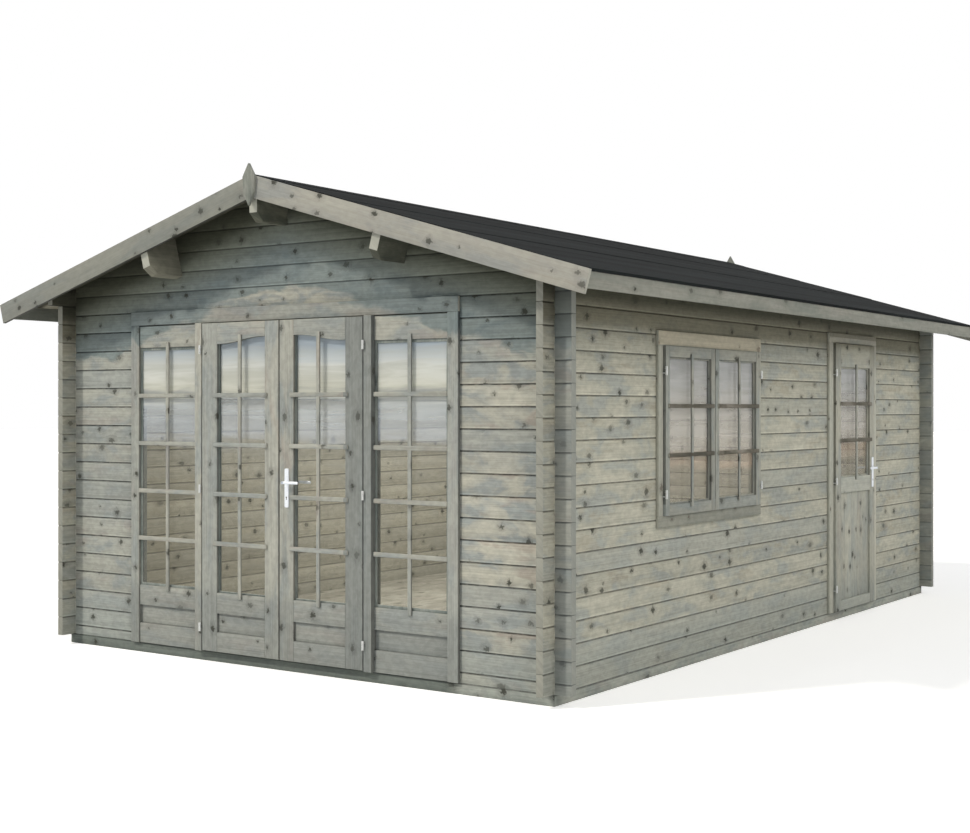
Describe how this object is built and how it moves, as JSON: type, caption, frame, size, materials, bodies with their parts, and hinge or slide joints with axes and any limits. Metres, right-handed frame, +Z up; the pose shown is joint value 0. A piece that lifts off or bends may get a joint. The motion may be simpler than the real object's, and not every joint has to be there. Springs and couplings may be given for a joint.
{
  "type": "log cabin",
  "caption": "Garden log cabin with notched log corners, a low gable felt roof, glazed double doors between fixed lights, a casement window and a half-glazed side door.",
  "frame": {"origin": "on the ground, under the middle of the bounding box", "axes": "+X towards the wall with the window and the side door, +Y towards the back, +Z up; the front gable with the double doors faces -Y"},
  "size_m": [4.44, 5.846, 2.8399],
  "materials": {
    "log": "weathered planed softwood",
    "base_timber": "treated sawn softwood",
    "floor_board": "planed softwood",
    "purlin": "planed softwood",
    "roof_board": "planed softwood",
    "trim_board": "weathered planed softwood",
    "joinery": "weathered planed softwood",
    "roof_felt": "mineral felt",
    "glass": "clear",
    "handle_metal": "satin",
    "hinge_metal": "zinc plated"
  },
  "bodies": {
    "cabin": {"base_beams": "base_timber", "floor_boards": "floor_board", "left_wall": "log", "right_wall_lower": "log", "right_wall_front": "log", "right_wall_middle": "log", "right_wall_rear": "log", "right_wall_top": "log", "front_wall_left": "log", "front_wall_right": "log", "front_gable": "log", "back_wall": "log", "back_gable": "log", "ridge_purlin": "purlin", "side_purlins": "purlin", "right_roof_boards": "roof_board", "left_roof_boards": "roof_board", "roof_felt": "roof_felt", "eaves_fascias": "trim_board", "front_bargeboards": "trim_board", "back_bargeboards": "trim_board", "front_finial": "trim_board", "back_finial": "trim_board", "front_door_frame": "joinery", "front_side_lights": "joinery", "side_light_glass": "glass", "side_door_frame": "joinery", "window_frame": "joinery", "window_casements": "joinery", "window_glass": "glass", "window_hinges": "hinge_metal", "door_hinge_pins": "hinge_metal"},
    "left_leaf": {"left_door_leaf": "joinery", "left_door_glass": "glass", "left_leaf_hinges": "hinge_metal"},
    "right_leaf": {"right_door_leaf": "joinery", "right_door_glass": "glass", "right_leaf_hinges": "hinge_metal", "front_handle_plates": "handle_metal"},
    "side_leaf": {"side_door_leaf": "joinery", "side_door_glass": "glass", "side_leaf_hinges": "hinge_metal", "side_handle_plates": "handle_metal"},
    "front_handle": {"front_lever": "handle_metal"},
    "side_handle": {"side_lever": "handle_metal"}
  },
  "joints": [
    {"name": "left_door_hinge", "type": "hinge", "parent": "cabin", "child": "left_leaf", "pos_m": [-0.631, -2.695, 1], "axis": [0, 0, -1], "range_deg": [0, 150]},
    {"name": "right_door_hinge", "type": "hinge", "parent": "cabin", "child": "right_leaf", "pos_m": [0.631, -2.695, 1], "axis": [0, 0, 1], "range_deg": [0, 150]},
    {"name": "side_door_hinge", "type": "hinge", "parent": "cabin", "child": "side_leaf", "pos_m": [1.895, 0.8115, 1], "axis": [0, 0, -1], "range_deg": [0, 150]},
    {"name": "front_lever_turn", "type": "hinge", "parent": "right_leaf", "child": "front_handle", "pos_m": [0.0635, -2.65, 1.07], "axis": [0, 1, 0], "range_deg": [0, 40], "stiffness_Nm_per_rad": 1.2, "springref_deg": -17.19},
    {"name": "side_lever_turn", "type": "hinge", "parent": "side_leaf", "child": "side_handle", "pos_m": [1.85, 1.4955, 1.05], "axis": [1, 0, 0], "range_deg": [0, 40], "stiffness_Nm_per_rad": 1.2, "springref_deg": -17.19}
  ]
}
